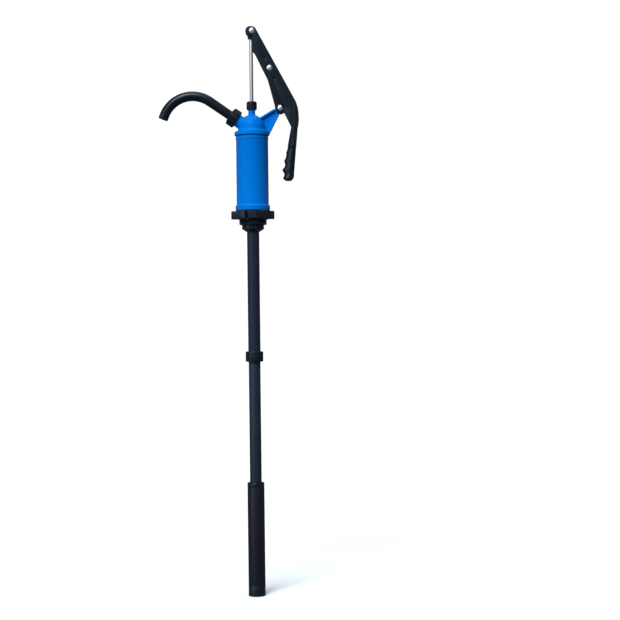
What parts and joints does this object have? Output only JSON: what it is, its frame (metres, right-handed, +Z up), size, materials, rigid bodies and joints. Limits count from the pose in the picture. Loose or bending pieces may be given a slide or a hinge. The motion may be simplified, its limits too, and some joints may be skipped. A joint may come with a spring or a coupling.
{
  "type": "drum barrel pump",
  "caption": "Lever-worked drum barrel pump with a screw-in bung adaptor, swivelling curved spout, linked hand lever and telescopic suction tube.",
  "frame": {"origin": "centre of the bung adaptor's underside, on the pump's axis, where it meets the drum", "axes": "+Z up along the pump's axis, -X toward the spout, +X toward the hand lever"},
  "size_m": [0.2977, 0.0868, 1.2045],
  "materials": {
    "blue_pp": "satin moulded",
    "black_pp": "satin moulded",
    "black_pipe": "satin extruded",
    "stainless": "ground",
    "zinc": "bright plated",
    "rubber": "matt",
    "acetal": "machined"
  },
  "bodies": {
    "pump_body": {"bung_adaptor": "black_pp", "bung_gasket": "rubber", "barrel_gasket": "rubber", "barrel": "blue_pp", "foot_valve_seat": "rubber", "foot_valve_cage": "acetal", "cage_screws": "stainless", "tube_nut": "black_pp", "tube_seal": "rubber", "upper_tube": "black_pipe", "tube_coupling": "black_pp", "coupling_seals": "rubber", "middle_tube": "black_pipe", "stop_collar": "black_pp", "stop_collar_seal": "rubber", "pump_head": "blue_pp", "head_gasket": "rubber", "ear_bush": "acetal", "gland_bush": "acetal", "gland_packing": "rubber", "gland_follower": "acetal", "gland_nut": "black_pp", "union_nut": "black_pp"},
    "rod_assembly": {"piston": "acetal", "piston_rings": "rubber", "piston_nut": "stainless", "piston_rod": "stainless", "rod_circlip": "stainless", "valve_stop": "stainless", "rod_end": "black_pp", "rod_end_bush": "acetal"},
    "lever_assembly": {"lever": "black_pp", "grip_sleeve": "black_pp", "rod_end_bolt": "zinc", "rod_end_nut": "zinc", "link_bolt": "zinc", "link_nut": "zinc"},
    "link_assembly": {"link": "black_pp", "ear_bolt": "zinc", "ear_nut": "zinc"},
    "spout_assembly": {"spout": "black_pp", "outlet_seal": "rubber"},
    "suction_foot": {"lower_tube": "black_pipe", "tube_cap": "black_pp", "slide_seal": "rubber", "foot_strainer": "black_pp"},
    "delivery_valve": {"piston_valve": "rubber"},
    "inlet_valve": {"foot_valve_disc": "acetal"}
  },
  "joints": [
    {"name": "rod_slide", "type": "slide", "parent": "pump_body", "child": "rod_assembly", "axis": [0, 0, 1], "range_m": [-0.1152, 0]},
    {"name": "lever_swing", "type": "hinge", "parent": "rod_assembly", "child": "lever_assembly", "pos_m": [0.0025, 0, 0.397], "axis": [0, -1, 0], "range_deg": [0, 90]},
    {"name": "link_swing", "type": "hinge", "parent": "pump_body", "child": "link_assembly", "pos_m": [0.061, 0, 0.234], "axis": [0, -1, 0], "range_deg": [-28.4, 0]},
    {"name": "spout_swivel", "type": "hinge", "parent": "pump_body", "child": "spout_assembly", "pos_m": [-0.04096, 0, 0.21668], "axis": [-0.8192, 0, 0.5736], "range_deg": [-75, 75]},
    {"name": "tube_telescope", "type": "slide", "parent": "pump_body", "child": "suction_foot", "axis": [0, 0, 1], "range_m": [0, 0.165]},
    {"name": "delivery_valve_lift", "type": "slide", "parent": "rod_assembly", "child": "delivery_valve", "axis": [0, 0, 1], "range_m": [0, 0.0035]},
    {"name": "inlet_valve_lift", "type": "slide", "parent": "pump_body", "child": "inlet_valve", "axis": [0, 0, 1], "range_m": [0, 0.006]}
  ],
  "couplings": [
    {"joint": "rod_slide", "follows": "lever_swing", "m_per_rad": -0.073289},
    {"joint": "link_swing", "follows": "lever_swing", "ratio": -0.3148}
  ]
}
